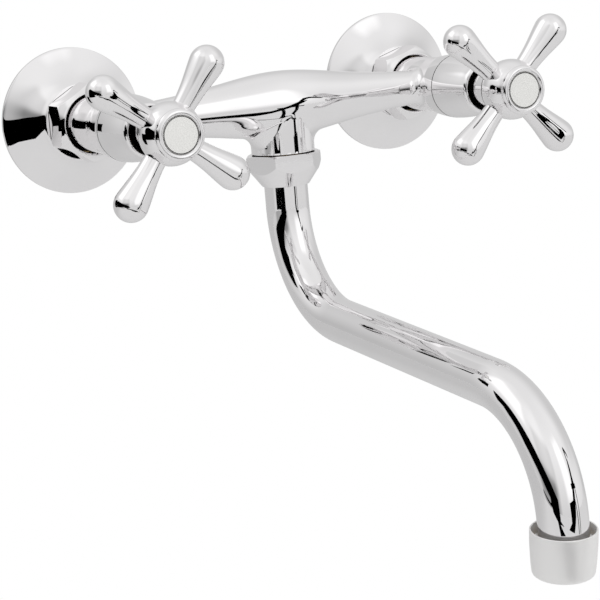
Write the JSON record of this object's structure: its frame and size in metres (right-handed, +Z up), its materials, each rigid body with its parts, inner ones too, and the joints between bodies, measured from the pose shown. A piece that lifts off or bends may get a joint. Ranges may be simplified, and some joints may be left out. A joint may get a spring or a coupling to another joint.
{
  "type": "wall-mounted kitchen mixer tap",
  "caption": "Wall-mounted chromed mixer tap with cross handles on the valves, a bulged crossbar between them and a long swivelling tubular spout with an aerator.",
  "frame": {"origin": "midway between the two inlet axes, on the wall surface that the flanges stand on", "axes": "+X towards the cold valve, +Y into the wall, +Z up; the tap stands out of the wall towards -Y"},
  "size_m": [0.2113, 0.2631, 0.1867],
  "materials": {
    "chrome": "bright mirror chrome plate",
    "satin_chrome": "light satin chrome plate",
    "brass": "turned bare brass",
    "steel": "plain stainless steel",
    "seal_rubber": "soft black rubber",
    "acetal": "natural moulded plastic",
    "white_disc": "glossy white"
  },
  "bodies": {
    "fixed": {"hot_wall_union": "brass", "hot_wall_flange": "chrome", "hot_union_nut": "chrome", "hot_inlet_washer": "seal_rubber", "hot_inlet_bush": "brass", "hot_bonnet": "brass", "hot_bonnet_seal": "seal_rubber", "hot_shroud": "chrome", "cold_wall_union": "brass", "cold_wall_flange": "chrome", "cold_union_nut": "chrome", "cold_inlet_washer": "seal_rubber", "cold_inlet_bush": "brass", "cold_bonnet": "brass", "cold_bonnet_seal": "seal_rubber", "cold_shroud": "chrome", "mixer_body": "chrome", "spout_nut": "chrome", "spout_upper_washer": "acetal", "spout_lower_washer": "acetal"},
    "hot_handle": {"hot_spindle": "brass", "hot_spindle_circlip": "steel", "hot_spindle_o_rings": "seal_rubber", "hot_cross_handle": "chrome", "hot_handle_screw": "steel", "hot_index_cap": "chrome", "hot_index_disc": "white_disc"},
    "hot_valve": {"hot_jumper": "brass", "hot_jumper_washer": "seal_rubber", "hot_jumper_screw": "steel"},
    "cold_handle": {"cold_spindle": "brass", "cold_spindle_circlip": "steel", "cold_spindle_o_rings": "seal_rubber", "cold_cross_handle": "chrome", "cold_handle_screw": "steel", "cold_index_cap": "chrome", "cold_index_disc": "white_disc"},
    "cold_valve": {"cold_jumper": "brass", "cold_jumper_washer": "seal_rubber", "cold_jumper_screw": "steel"},
    "spout": {"spout_tail": "brass", "spout_o_rings": "seal_rubber", "spout_split_ring": "brass", "spout_tube": "chrome", "outlet_bush": "brass", "aerator_housing": "satin_chrome", "aerator_insert": "acetal", "aerator_screen": "steel", "aerator_washer": "seal_rubber"}
  },
  "joints": [
    {"name": "hot_handle_turn", "type": "hinge", "parent": "fixed", "child": "hot_handle", "pos_m": [-0.075, -0.1015, 0], "axis": [0, -1, 0], "range_deg": [0, 765]},
    {"name": "hot_valve_rise", "type": "slide", "parent": "fixed", "child": "hot_valve", "axis": [0, -1, 0], "range_m": [0, 0.0053]},
    {"name": "cold_handle_turn", "type": "hinge", "parent": "fixed", "child": "cold_handle", "pos_m": [0.075, -0.1015, 0], "axis": [0, -1, 0], "range_deg": [0, 765]},
    {"name": "cold_valve_rise", "type": "slide", "parent": "fixed", "child": "cold_valve", "axis": [0, -1, 0], "range_m": [0, 0.0053]},
    {"name": "spout_swivel", "type": "hinge", "parent": "fixed", "child": "spout", "pos_m": [0, -0.0435, 0], "axis": [0, 0, 1], "range_deg": [-90, 90]}
  ],
  "couplings": [
    {"joint": "hot_valve_rise", "follows": "hot_handle_turn", "m_per_rad": 0.000395},
    {"joint": "cold_valve_rise", "follows": "cold_handle_turn", "m_per_rad": 0.000395}
  ]
}
